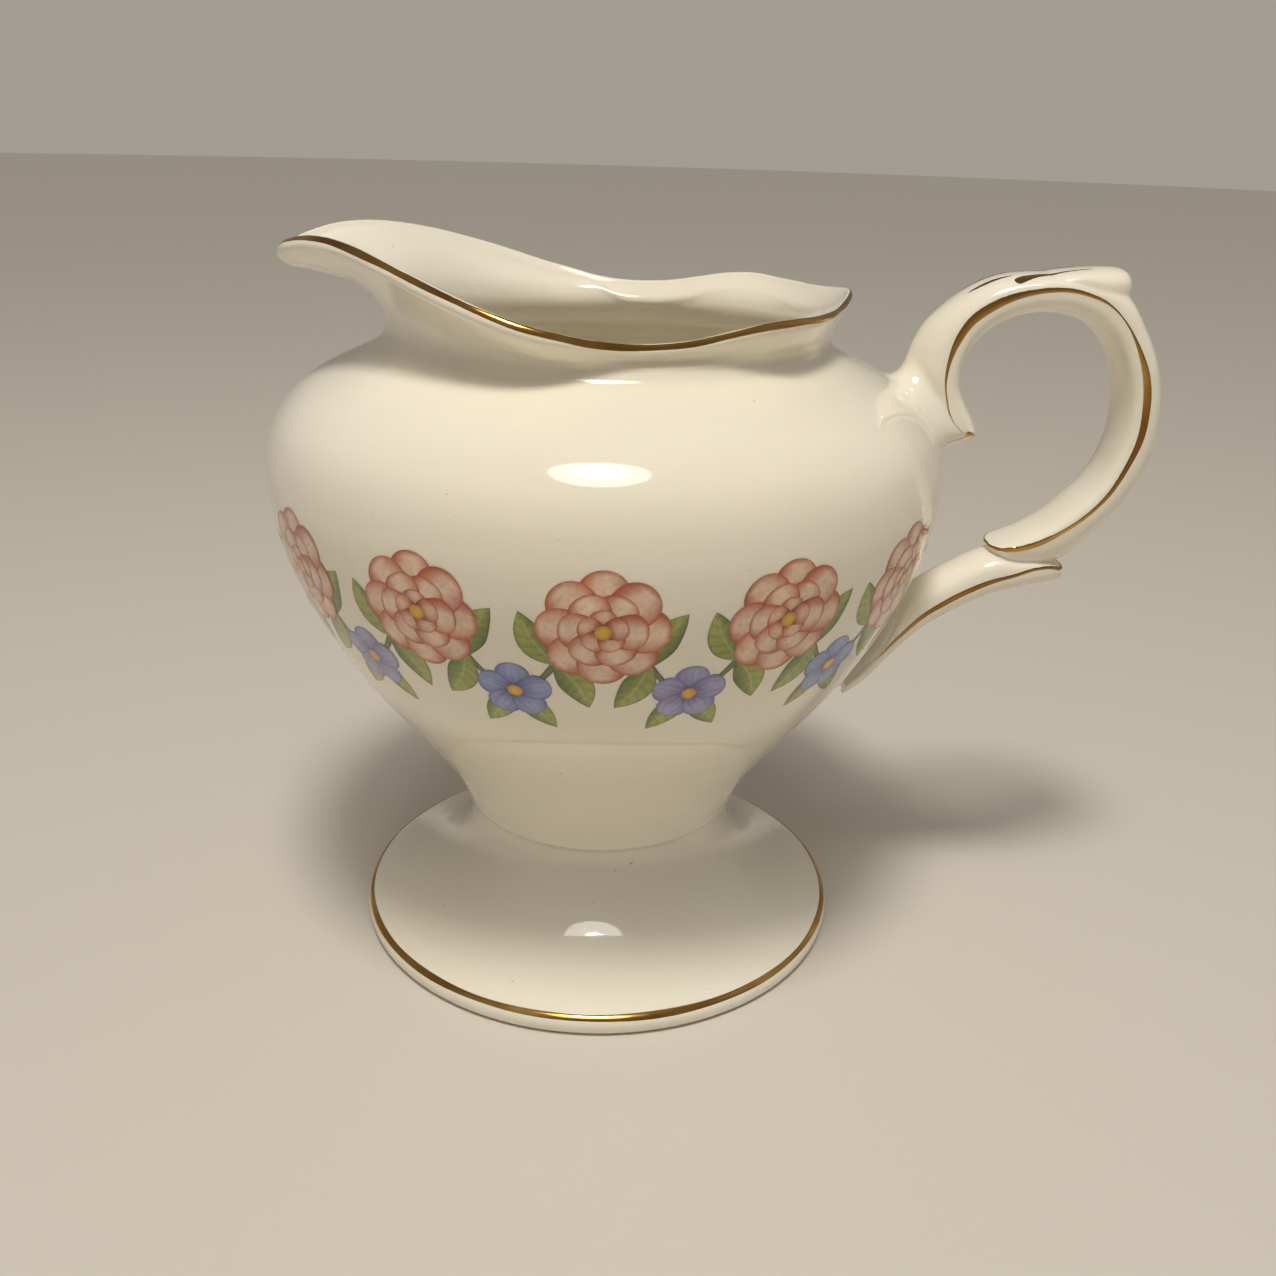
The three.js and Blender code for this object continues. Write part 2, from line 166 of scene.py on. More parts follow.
STRUT = np.array([
    [67.39, 57.32, 66.41, 57.66, 67.24, 55.43, 2.6], [65.62, 58.21, 64.58, 58.1, 65.82, 54.93, 3.6],
    [63.3, 58.78, 62.1, 57.85, 63.49, 54.49, 4.2], [59.81, 59.33, 59.27, 56.86, 60.27, 53.94, 4.4],
    [56.8, 59.64, 56.19, 55.87, 57.08, 53.16, 4.4], [54.11, 58.73, 53.02, 54.41, 53.96, 51.75, 4.4],
    [51.2, 57.12, 49.74, 52.48, 50.59, 49.84, 4.4], [48.27, 55.49, 46.62, 50.22, 47.23, 47.51, 4.4],
    [45.81, 53.55, 43.79, 47.39, 44.48, 45.02, 4.6], [44.03, 50.66, 41.19, 44.61, 41.88, 42.17, 5.0],
    [42.23, 46.27, 38.75, 41.9, 39.41, 39.3, 5.2], [39.9, 42.13, 36.53, 39.49, 37.01, 37.08, 4.6],
    [38.19, 39.28, 35.79, 37.99, 36.16, 36.22, 3.4]])
THUMB = np.array([
    [57.54, 98.66, 58.36, 96.95, 2.8], [60.19, 99.19, 60.99, 96.68, 4.2], [62.87, 99.52, 63.43, 96.55, 4.5],
    [65.2, 99.72, 66.0, 95.2, 4.5], [67.2, 99.8, 68.0, 94.9, 4.2], [68.5, 99.7, 69.3, 95.1, 3.6],
    [69.4, 99.4, 70.0, 95.6, 2.8], [70.0, 98.85, 70.3, 96.4, 1.9], [70.4, 98.1, 70.45, 97.1, 0.9]])

# ------------------------------------------------------------------ numeric helpers


def smooth(a, b, x):
    t = np.clip((x - a) / (b - a), 0.0, 1.0)
    return t * t * (3 - 2 * t)


def hermite(keys, values, x):
    """Smooth curve through values (n, k) at increasing keys, one-sided tangents at the ends."""
    keys, values, x = np.asarray(keys, float), np.asarray(values, float), np.asarray(x, float)
    m = np.empty_like(values)
    m[1:-1] = (values[2:] - values[:-2]) / (keys[2:] - keys[:-2])[:, None]
    m[0] = (values[1] - values[0]) / (keys[1] - keys[0])
    m[-1] = (values[-1] - values[-2]) / (keys[-1] - keys[-2])
    k = np.clip(np.searchsorted(keys, x, side="right") - 1, 0, len(keys) - 2)
    h = (keys[k + 1] - keys[k])
    t = ((x - keys[k]) / h)[:, None]
    h = h[:, None]
    return (values[k] * (2 * t**3 - 3 * t * t + 1) + m[k] * h * (t**3 - 2 * t * t + t)
            + values[k + 1] * (3 * t * t - 2 * t**3) + m[k + 1] * h * (t**3 - t * t))


def through(points, n):
    """n points along a smooth curve through the given points, spaced by chord length."""
    p = np.asarray(points, float)
    d = np.concatenate([[0], np.cumsum(np.sqrt(np.linalg.norm(np.diff(p, axis=0), axis=1)) + 1e-9)])
    return hermite(d, p, np.linspace(0, d[-1], n))


def noise1(seed, n):
    return np.random.default_rng(seed).random(n)


def srgb(*c):
    c = np.asarray(c, float) / 255.0
    return np.where(c <= 0.04045, c / 12.92, ((c + 0.055) / 1.055) ** 2.4)


# ------------------------------------------------------------------ bowl surface
BOWL_FINE = through(BOWL, 420)
_ds = np.concatenate([[0], np.cumsum(np.linalg.norm(np.diff(BOWL_FINE, axis=0), axis=1))])
_tan = np.gradient(BOWL_FINE, _ds, axis=0)
_tan /= np.linalg.norm(_tan, axis=1)[:, None]


def bowl_point(phi, s, lift=0.0):
    """Point on the outside of the bowl at bearing phi (degrees) and arc length s (mm) up from the waist."""
    r, z = np.interp(s, _ds, BOWL_FINE[:, 0]), np.interp(s, _ds, BOWL_FINE[:, 1])
    tr, tz = np.interp(s, _ds, _tan[:, 0]), np.interp(s, _ds, _tan[:, 1])
    nr, nz = tz, -tr
    a = np.radians(phi)
    r2, z2 = r + nr * lift, z + nz * lift
    return np.stack([AXIS_X + r2 * np.cos(a), r2 * np.sin(a), z2], -1)


def lip_at(deg):
    a = np.abs((np.asarray(deg, float) + 180.0) % 360.0 - 180.0)
    keys = np.concatenate([-LIP[:0:-1, 0][-3:], LIP[:, 0], 360 - LIP[:-1, 0][::-1][:3]])
    vals = np.concatenate([LIP[:0:-1, 1:][-3:], LIP[:, 1:], LIP[:-1, 1:][::-1][:3]])
    return hermite(keys, vals, a)


def lip_outline(deg):
    """Neck curve control points ending at the underside of the roll, then roll and crest, at one bearing, radius and
    height.
    """
    rho, z = lip_at([deg])[0]
    a = abs((deg + 180.0) % 360.0 - 180.0)
    spout, tip = smooth(85, 125, a), smooth(150, 180, a)
    under = np.array([rho - 0.5 + 0.3 * tip, z - min(2.7, 0.55 * (z - NECK_Z))])
    roll = np.array([rho + 0.5 + 0.2 * spout + 0.5 * tip, z - 1.0 - 0.3 * spout])
    flare = max(0.0, under[0] - NECK_RADIUS)
    length = math.hypot(under[0] - NECK_RADIUS, under[1] - NECK_Z)
    beta = math.radians(max(12.0, 68 - 4.9 * flare))
    p0, p1 = np.array([NECK_RADIUS, NECK_Z]), np.array([NECK_RADIUS - 0.08 * length, NECK_Z + 0.38 * length])
    p2, p3 = under - 0.42 * length * np.array([math.cos(beta), math.sin(beta)]), under
    return (p0, p1, p2, p3), roll, np.array([rho, z])


def bezier(p, t):
    t = np.asarray(t, float)[:, None]
    return (1 - t) ** 3 * p[0] + 3 * t * (1 - t) ** 2 * p[1] + 3 * t * t * (1 - t) * p[2] + t**3 * p[3]


def offset_in(path, d):
    t = np.gradient(path, axis=0)
    t /= np.linalg.norm(t, axis=1)[:, None]
    return path + np.stack([-t[:, 1], t[:, 0]], 1) * d


N_OUT, N_NECK, N_ROLL, N_IN = 130, 16, 20, 110


def bowl_profile(deg):
    neck, roll, crest = lip_outline(deg)
    out = BOWL_FINE[np.linspace(0, len(BOWL_FINE) - 1, N_OUT).astype(int)].copy()
    up = bezier(neck, np.linspace(0, 1, N_NECK + 1)[1:])
    inner = crest + np.array([-1.0, -0.9])
    path = np.vstack([out, up])
    ins = offset_in(path, WALL)[::-1]
    ins = ins[2:]
    last = ins[ins[:, 1] > SEAM_Z + 4.6]
    floor = np.array([[15.6, SEAM_Z + 4.35], [11.0, SEAM_Z + 3.5], [5.0, SEAM_Z + 3.25], [0.0, SEAM_Z + 3.2]])
    lip = through(np.vstack([up[-3], up[-1], roll, crest, inner, ins[2]]), N_ROLL + 6)[4:-1]
    inside = through(np.vstack([inner, ins[2], last[5::4], floor]), N_IN)[1:]
    base = np.array([[0.0, SEAM_Z + 0.9], [14.5, SEAM_Z + 0.9], [16.8, SEAM_Z], [20.1, SEAM_Z], [20.42, SEAM_Z + 0.14]])
    keep = lip[: np.argmin(np.linalg.norm(lip - inner, axis=1)) + 1]
    keep = through(keep, N_ROLL)
    return np.vstack([base, out[1:], up[:-2], keep, inside])


def mesh_object(name, verts_mm, faces, smooth_shade=True):
    me = bpy.data.meshes.new(name)
    me.from_pydata((np.asarray(verts_mm, float) / 1000.0).tolist(), [], [list(map(int, f)) for f in faces])
    me.update()
    if smooth_shade:
        me.polygons.foreach_set("use_smooth", [True] * len(me.polygons))
    o = bpy.data.objects.new(name, me)
    bpy.context.scene.collection.objects.link(o)
    return o


def fix_normals(o):
    bm = bmesh.new()
    bm.from_mesh(o.data)
    bmesh.ops.recalc_face_normals(bm, faces=bm.faces)
    bm.to_mesh(o.data)
    bm.free()


def turned(name, profile_at, segments, closed):
    profiles = [profile_at(360.0 * i / segments) for i in range(segments)]
    rows = len(profiles[0])
    verts, index = [], np.zeros((segments, rows), int)
    for i, prof in enumerate(profiles):
        a = 2 * math.pi * i / segments
        for j, (r, z) in enumerate(prof):
            if not closed and j in (0, rows - 1) and i > 0:
                index[i, j] = index[0, j]
                continue
            verts.append((AXIS_X + r * math.cos(a), r * math.sin(a), z))
            index[i, j] = len(verts) - 1
    faces = []
    for i in range(segments):
        a, b = index[i], index[(i + 1) % segments]
        for j in range(rows if closed else rows - 1):
            k = (j + 1) % rows
            q = [a[j], b[j], b[k], a[k]]
            f = [q[0]]
            for v in q[1:]:
                if v != f[-1] and v != f[0]:
                    f.append(v)
            if len(f) > 2:
                faces.append(f)
    o = mesh_object(name, verts, faces)
    fix_normals(o)
    return o


# ------------------------------------------------------------------ materials
def principled(name, color, rough, metal=0.0, **constants):
    m = bpy.data.materials.new(name)
    m.use_nodes = True
    b = m.node_tree.nodes["Principled BSDF"]
    b.inputs["Base Color"].default_value = (*color, 1.0)
    b.inputs["Roughness"].default_value = rough
    b.inputs["Metallic"].default_value = metal
    for k, v in constants.items():
        b.inputs[k.replace("_", " ")].default_value = v
    return m, m.node_tree, b


def noise_node(nt, scale, detail=2.0, rough=0.5, vector=None):
    n = nt.nodes.new("ShaderNodeTexNoise")
    n.inputs["Scale"].default_value = scale
    n.inputs["Detail"].default_value = detail
    n.inputs["Roughness"].default_value = rough
    if vector is None:
        vector = nt.nodes.new("ShaderNodeTexCoord").outputs["Object"]
    nt.links.new(vector, n.inputs["Vector"])
    return n


def ramp_node(nt, fac, stops):
    r = nt.nodes.new("ShaderNodeValToRGB")
    els = r.color_ramp.elements
    while len(els) > 1:
        els.remove(els[-1])
    els[0].position, els[0].color = stops[0][0], (*stops[0][1], 1.0)
    for p, c in stops[1:]:
        e = els.new(p)
        e.color = (*c, 1.0)
    nt.links.new(fac, r.inputs["Fac"])
    return r


def mix_color(nt, fac, a, b, mode="MIX"):
    m = nt.nodes.new("ShaderNodeMix")
    m.data_type = "RGBA"
    m.blend_type = mode
    for sock, val in ((m.inputs[0], fac), (m.inputs[6], a), (m.inputs[7], b)):
        if isinstance(val, bpy.types.NodeSocket):
            nt.links.new(val, sock)
        elif isinstance(val, (int, float)):
            sock.default_value = val
        else:
            sock.default_value = (*val, 1.0)
    return m.outputs[2]


IVORY = tuple(srgb(240, 234, 218))


def porcelain(name):
    m, nt, b = principled(name, IVORY, 0.07, IOR=1.5, Coat_Weight=0.35, Coat_Roughness=0.03)
    b.inputs["Subsurface Weight"].default_value = 0.12
    b.inputs["Subsurface Radius"].default_value = (1.0, 0.72, 0.45)
    b.inputs["Subsurface Scale"].default_value = 0.0016
    big = noise_node(nt, 16.0, 2.0)
    col = ramp_node(nt, big.outputs["Fac"], [(0.3, srgb(238, 231, 213)), (0.7, srgb(243, 238, 224))])
    speck = noise_node(nt, 900.0, 1.0)
    dots = ramp_node(nt, speck.outputs["Fac"], [(0.0, (1, 1, 1)), (0.79, (1, 1, 1)), (0.84, srgb(205, 196, 176))])
    nt.links.new(mix_color(nt, 1.0, col.outputs["Color"], dots.outputs["Color"], "MULTIPLY"), b.inputs["Base Color"])
    fine = noise_node(nt, 60.0, 1.0)
    bump = nt.nodes.new("ShaderNodeBump")
    bump.inputs["Strength"].default_value = 0.05
    bump.inputs["Distance"].default_value = 0.0006
    nt.links.new(fine.outputs["Fac"], bump.inputs["Height"])
    nt.links.new(bump.outputs["Normal"], b.inputs["Normal"])
    return m


def gold(name):
    m, nt, b = principled(name, tuple(srgb(196, 152, 82)), 0.14, 1.0)
    n = noise_node(nt, 420.0, 3.0)
    r = nt.nodes.new("ShaderNodeMapRange")
    r.inputs["To Min"].default_value = 0.08
    r.inputs["To Max"].default_value = 0.24
    nt.links.new(n.outputs["Fac"], r.inputs["Value"])
    nt.links.new(r.outputs["Result"], b.inputs["Roughness"])
    # base colour wanders in noise patches from dark brown to pale gold: partly random tone of the gilding, partly
    # painted dark reflections of the surroundings
    tone_and_painted_reflection = noise_node(nt, 90.0, 2.0)
    c = ramp_node(nt, tone_and_painted_reflection.outputs["Fac"], [(0.3, srgb(146, 104, 52)), (0.55, srgb(188, 144, 76)), (0.78, srgb(226, 188, 114))])
    nt.links.new(c.outputs["Color"], b.inputs["Base Color"])
    return m


def bisque(name):
    m, nt, b = principled(name, tuple(srgb(226, 217, 196)), 0.75)
    n = noise_node(nt, 700.0, 4.0, 0.7)
    c = ramp_node(nt, n.outputs["Fac"], [(0.3, srgb(208, 197, 172)), (0.7, srgb(234, 227, 208))])
    nt.links.new(c.outputs["Color"], b.inputs["Base Color"])
    bump = nt.nodes.new("ShaderNodeBump")
    bump.inputs["Strength"].default_value = 0.25
    bump.inputs["Distance"].default_value = 0.0002
    nt.links.new(n.outputs["Fac"], bump.inputs["Height"])
    nt.links.new(bump.outputs["Normal"], b.inputs["Normal"])
    return m


def print_material(name):
    """Transfer print under glaze: colour from the 'tint' attribute with fine hatching."""
    m, nt, b = principled(name, (0.5, 0.4, 0.4), 0.1, IOR=1.5, Coat_Weight=0.35, Coat_Roughness=0.03)
    at = nt.nodes.new("ShaderNodeAttribute")
    at.attribute_name = "tint"
    grain = noise_node(nt, 1500.0, 2.0, 0.6)
    g = ramp_node(nt, grain.outputs["Fac"], [(0.30, (0.72, 0.70, 0.72)), (0.54, (1, 1, 1)), (0.7, (1.0, 1.0, 1.0))])
    wash = noise_node(nt, 260.0, 2.0, 0.5)
    w = ramp_node(nt, wash.outputs["Fac"], [(0.3, (0.86, 0.85, 0.86)), (0.7, (1.0, 1.0, 1.0))])
    c1 = mix_color(nt, 0.6, at.outputs["Color"], g.outputs["Color"], "MULTIPLY")
    c2 = mix_color(nt, 1.0, c1, w.outputs["Color"], "MULTIPLY")
    nt.links.new(c2, b.inputs["Base Color"])
    bump = nt.nodes.new("ShaderNodeBump")
    bump.inputs["Strength"].default_value = 0.10
    bump.inputs["Distance"].default_value = 0.0001
    nt.links.new(grain.outputs["Fac"], bump.inputs["Height"])
    nt.links.new(bump.outputs["Normal"], b.inputs["Normal"])
    return m


GLAZE_BOWL, GLAZE_FOOT, GLAZE_HANDLE = porcelain("glaze_bowl"), porcelain("glaze_foot"), porcelain("glaze_handle")
GOLD = gold("gilt")
BISQUE = bisque("unglazed_ring")
PRINT = print_material("transfer_print")


def place(o, material, slot, *nodes):
    if material is not None:
        o.data.materials.clear()
        o.data.materials.append(material)
    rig.ride(o, "root")
    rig.slot(o, slot)
    if nodes:
        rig.replaces(o, *nodes)
    return o


# ------------------------------------------------------------------ bowl
bowl = turned("bowl_glazed", bowl_profile, 300, False)
place(bowl, GLAZE_BOWL, "bowl_glaze", "body")

# ------------------------------------------------------------------ foot
foot_path = np.vstack([FOOT[1:3], through(FOOT[2:14], 96)[1:-1], FOOT[13:15], through(FOOT[14:], 50)[1:], FOOT[:1]])
foot = turned("foot_glazed", lambda d: foot_path, 240, True)
place(foot, GLAZE_FOOT, "foot_glaze", "foot")
foot.data.materials.append(BISQUE)
for poly in foot.data.polygons:
    zs = [foot.data.vertices[v].co.z for v in poly.vertices]
    if max(zs) < 0.0000301:
        poly.material_index = 1

# ------------------------------------------------------------------ handle


def section(s, n, outer_power, inner_power):
    ox, oz, gx, gz, ix, iz, w = s
    t = 2 * np.pi * np.arange(n) / n
    c, sn = np.cos(t), np.sin(t)
    f = np.where(c > 0, np.abs(c) ** outer_power, np.abs(c) ** inner_power)
    ex, ez = np.where(c > 0, ox, ix), np.where(c > 0, oz, iz)
    return np.stack([AXIS_X + gx + (ex - gx) * f, w * sn, gz + (ez - gz) * f], 1)


def loft(rings):
    n = len(rings[0])
    verts = list(np.vstack(rings))
    faces = []
    for i in range(len(rings) - 1):
        for k in range(n):
            a, b = i * n + k, i * n + (k + 1) % n
            faces.append((a, b, b + n, a + n))
    for first in (0, (len(rings) - 1) * n):
        verts.append(np.mean(verts[first:first + n], axis=0))
        for k in range(n):
            faces.append((first + k, first + (k + 1) % n, len(verts) - 1))
    return np.array(verts), faces


def dense(stations, n):
    keys = np.concatenate([[0], np.cumsum(np.linalg.norm(np.diff(stations[:, :-1], axis=0), axis=1))])
    return hermite(keys, stations, np.linspace(0, keys[-1], n))


LOOP_D, STRUT_D = dense(LOOP, 240), dense(STRUT, 120)
THUMB_D = dense(THUMB, 60)
THUMB_D = np.stack([THUMB_D[:, 0], THUMB_D[:, 1], (THUMB_D[:, 0] + THUMB_D[:, 2]) / 2, (THUMB_D[:, 1] + THUMB_D[:, 3]) / 2,
                    THUMB_D[:, 2], THUMB_D[:, 3], THUMB_D[:, 4]], 1)
pieces = [
    loft([section(s, 48, 0.85, 0.6) for s in LOOP_D]),
    loft([section(s, 48, 0.6, 0.7) for s in STRUT_D]),
    loft([section(s, 32, 0.8, 0.8) for s in THUMB_D]),
]
# a slab of the bowl wall under the roots, so that the joints blend
SUNK = 0.10
sector = np.radians(np.linspace(-26, 26, 60))
s_rows = np.linspace(8.0, _ds[-1] - 1.0, 150)
outer_rows = np.stack([bowl_point(np.degrees(a), s_rows, -SUNK) for a in sector])
inner_rows = np.stack([bowl_point(np.degrees(a), s_rows, -1.9) for a in sector])
nv, nr = len(sector), len(s_rows)
slab_v = np.vstack([outer_rows.reshape(-1, 3), inner_rows.reshape(-1, 3)])
slab_f = []
for i in range(nv - 1):
    for j in range(nr - 1):
        a = i * nr + j
        slab_f.append((a, a + nr, a + nr + 1, a + 1))
        b = nv * nr + a
        slab_f.append((b, b + 1, b + nr + 1, b + nr))
for j in range(nr - 1):
    for i, flip in ((0, False), (nv - 1, True)):
        a, b = i * nr + j, nv * nr + i * nr + j
        slab_f.append((a, a + 1, b + 1, b) if not flip else (a, b, b + 1, a + 1))
for i in range(nv - 1):
    for j, flip in ((0, True), (nr - 1, False)):
        a, b = i * nr + j, nv * nr + i * nr + j
        slab_f.append((a, a + nr, b + nr, b) if flip else (a, b, b + nr, a + nr))
pieces.append((slab_v, slab_f))
all_v, all_f, base = [], [], 0
for v, f in pieces:
    all_v.append(v)
    all_f += [tuple(int(x) + base for x in q) for q in f]
    base += len(v)
raw = mesh_object("handle_raw", np.vstack(all_v), all_f)
# each closed shell faces outwards before they are fused
fix_normals(raw)
remesh = raw.modifiers.new("fuse", "REMESH")
remesh.mode = "VOXEL"
remesh.voxel_size = 0.00023
bpy.context.view_layer.update()
fused = bpy.data.meshes.new_from_object(raw.evaluated_get(bpy.context.evaluated_depsgraph_get()))
bpy.data.objects.remove(raw)
co = np.zeros(len(fused.vertices) * 3)
fused.vertices.foreach_get("co", co)
co = co.reshape(-1, 3) * 1000.0
edges = np.zeros(len(fused.edges) * 2, int)
fused.edges.foreach_get("vertices", edges)
edges = edges.reshape(-1, 2)
quads = [tuple(p.vertices) for p in fused.polygons]
bpy.data.meshes.remove(fused)


def bowl_distance(p):
    """Signed distance (mm) outside the bowl's outer face, near enough for points close to it."""
    r, z = np.hypot(p[:, 0] - AXIS_X, p[:, 1]), p[:, 2]
    out = np.empty(len(p))
    for lo in range(0, len(p), 20000):
        rr, zz = r[lo:lo + 20000, None], z[lo:lo + 20000, None]
        d2 = (BOWL_FINE[None, :, 0] - rr) ** 2 + (BOWL_FINE[None, :, 1] - zz) ** 2
        k = d2.argmin(1)
        t = _tan[k]
        v = np.stack([rr[:, 0] - BOWL_FINE[k, 0], zz[:, 0] - BOWL_FINE[k, 1]], 1)
        out[lo:lo + 20000] = v[:, 0] * t[:, 1] - v[:, 1] * t[:, 0]
    return out


def relax(p, weight, rounds, factor=0.6, back=0.0):
    deg = np.bincount(edges.ravel(), minlength=len(p)).astype(float)[:, None]
    for r in range(rounds):
        for f in ((factor, -back) if back else (factor,)):
            acc = np.zeros_like(p)
            for c in range(3):
                acc[:, c] = np.bincount(edges[:, 0], weights=p[edges[:, 1], c], minlength=len(p)) + np.bincount(
                    edges[:, 1], weights=p[edges[:, 0], c], minlength=len(p))
            p = p + (acc / deg - p) * (f * weight[:, None])
    return p


dist = bowl_distance(co)
near = np.exp(-np.clip(dist, 0, None) ** 2 / (2 * 1.7 ** 2))
on_bowl = dist < 0.25
co = relax(co, np.ones(len(co)), 40, 0.6, 0.612)
# the joint with the bowl is softened into a fillet; the bowl side stays where it is
weight = np.clip(near, 0, 1)
anchor_co = co.copy()
co = relax(co, weight, 120, 0.7)
dist2 = bowl_distance(co)
co = relax(co, np.ones(len(co)), 10, 0.5, 0.515)
dist2 = bowl_distance(co)
keep_v = dist2 > -SUNK * 0.9
keep_f = [q for q in quads if all(keep_v[i] for i in q)]
# the largest connected shell is the handle
parent = np.arange(len(co))


def root_of(i):
    while parent[i] != i:
        parent[i] = parent[parent[i]]
        i = parent[i]
    return i


for q in keep_f:
    a = root_of(q[0])
    for v in q[1:]:
        b = root_of(v)
        if a != b:
            parent[b] = a
roots = np.array([root_of(q[0]) for q in keep_f])
best = np.bincount(roots).argmax()
keep_f = [q for q, r in zip(keep_f, roots) if r == best]
used = np.unique(np.array([i for q in keep_f for i in q]))
remap = -np.ones(len(co), int)
remap[used] = np.arange(len(used))
handle = mesh_object("handle_glazed", co[used], [tuple(remap[i] for i in q) for q in keep_f])
fix_normals(handle)
place(handle, GLAZE_HANDLE, "handle_glaze", "handle")
handle_tree = BVHTree.FromPolygons([Vector(v) for v in co[used]], [tuple(int(remap[i]) for i in q) for q in keep_f])
print("handle faces", len(keep_f))


def on_handle(p, lift):
    """Nearest point of the handle's skin and the normal there; lift is not used."""
    out = []
    for q in p:
        loc, nor, idx, d = handle_tree.find_nearest(Vector(q))
        n = Vector(nor)
        if n.dot(Vector(q) - loc) < 0 and d > 0.02:
            n = n if abs(n.dot(Vector((0, 1, 0)))) < 0 else n
        out.append((loc, n))
    return out


def ribbon(name, centers, sides, widths, lift, cross=7):
    """A band laid on the handle: centres (n,3), side directions (n,3), half widths (n)."""
    verts, faces = [], []
    for c, s, w in zip(centers, sides, widths):
        s = s / np.linalg.norm(s)
        for q in np.linspace(-1, 1, cross):
            p = c + s * w * q
            loc, nor, idx, d = handle_tree.find_nearest(Vector(p))
            n = np.array(nor)
            up = c[1]
            if n[1] * up < -1e-6 and abs(n[1]) > 0.6:
                n = -n
            edge = 1.0 - 0.75 * abs(q) ** 4
            verts.append(np.array(loc) + n * lift * edge)
    for i in range(len(centers) - 1):
        for k in range(cross - 1):
            a = i * cross + k
            faces.append((a, a + 1, a + cross + 1, a + cross))
    return mesh_object(name, verts, faces)


def ridge_band(name, stations, lo, hi, side, width_at, lift=0.06, slot_nodes=()):
    st = stations[lo:hi]
    c = np.stack([AXIS_X + st[:, 2], side * (st[:, 6] + 0.3), st[:, 3]], 1)
    d = np.stack([st[:, 0] - st[:, 4], np.zeros(len(st)), st[:, 1] - st[:, 5]], 1)
    t = np.linspace(0, 1, len(st))
    o = ribbon(name, c, d, width_at(t), lift)
    fix_outward(o)
    place(o, GOLD, "gilding", *slot_nodes)
    return o


def fix_outward(o):
    """Faces look away from the handle's middle plane."""
    me = o.data
    me.update()
    flips = sum(1 if p.normal.y * p.center.y < 0 else -1 for p in me.polygons)
    if flips > 0:
        me.flip_normals()


LOOP_HALF = np.array([0.40, 0.40, 0.40, 0.40, 0.32, 0.26, 0.27, 0.38, 0.55, 0.62, 0.62, 0.52, 0.42, 0.38, 0.26, 0.15, 0.12, 0.22, 0.42, 0.56,
                      0.62, 0.56, 0.42, 0.34, 0.30, 0.34, 0.50, 0.60, 0.60, 0.56, 0.5, 0.45])
STRUT_HALF = np.array([0.36, 0.34, 0.26, 0.26, 0.34, 0.44, 0.50, 0.50, 0.44, 0.34, 0.26, 0.2, 0.2])


def spread(stations, values, n):
    keys = np.concatenate([[0], np.cumsum(np.linalg.norm(np.diff(stations[:, :-1], axis=0), axis=1))])
    return hermite(keys, values[:, None], np.linspace(0, keys[-1], n))[:, 0]


LOOP_W, STRUT_W = spread(LOOP, LOOP_HALF, 240), spread(STRUT, STRUT_HALF, 120)


def brushed(w, seed):
    t = np.linspace(0, 1, len(w))
    return w * (1 + 0.07 * np.sin(t * 31.0 + seed) * np.sin(t * 11.0 + 2 * seed))


L0 = int(np.linalg.norm(LOOP_D[:60, 2:4] - np.array([49.2, 77.5]), axis=1).argmin())
for side, tag in ((-1, "near"), (1, "far")):
    lw = brushed(LOOP_W, side)[L0:240]
    sw = brushed(STRUT_W, side + 2)[0:94] * smooth(1.0, 0.93, np.linspace(0, 1, 94)) ** 0.6 + 0.01
    ridge_band(f"gilt_loop_{tag}", LOOP_D, L0, 240, side, lambda t: lw, slot_nodes=(f"loop_gilding_{tag}",))
    ridge_band(f"gilt_strut_{tag}", STRUT_D, 0, 94, side, lambda t: sw, slot_nodes=(f"strut_gilding_{tag}",))

# gilt wrapped over the rolled tip of the strut and round the end of the scroll
for name, ctr, dirs, half in (
    ("strut_tip", [(66.3, 2.7, 57.7), (66.9, 1.6, 57.62), (67.3, 0.0, 57.5), (66.9, -1.6, 57.62), (66.3, -2.7, 57.7)], (0.35, 0.0, -1.0), 0.34),
    ("scroll_end", [(55.72, 1.1, 60.47), (55.66, 0.5, 60.45), (55.64, 0.0, 60.44), (55.66, -0.5, 60.45), (55.72, -1.1, 60.47)], (0.1, 0.0, 1.0), 0.45),
    ("curl_end", [(49.6, -4.8, 77.5), (50.6, -4.3, 77.1), (51.5, -2.6, 76.6), (51.75, 0.0, 76.5), (51.5, 2.6, 76.6), (50.6, 4.3, 77.1), (49.6, 4.8, 77.5)],
     (0.5, 0.0, 1.0), 0.26),
):
    c = through(np.array(ctr, float), 41)
    c[:, 0] += AXIS_X
    d = np.broadcast_to(np.array(dirs, float), c.shape)
    u = np.abs(np.linspace(-1, 1, 41))
    o = ribbon(f"gilt_{name}", c, d, half * (1 + (0.7 * smooth(0.55, 0.9, u) * smooth(1.02, 0.96, u) if name == "curl_end" else 0 * u)), 0.055)
    if sum(p.normal.x for p in o.data.polygons) * (-1 if name == "scroll_end" else 1) < 0:
        o.data.flip_normals()
    place(o, GOLD, "gilding")

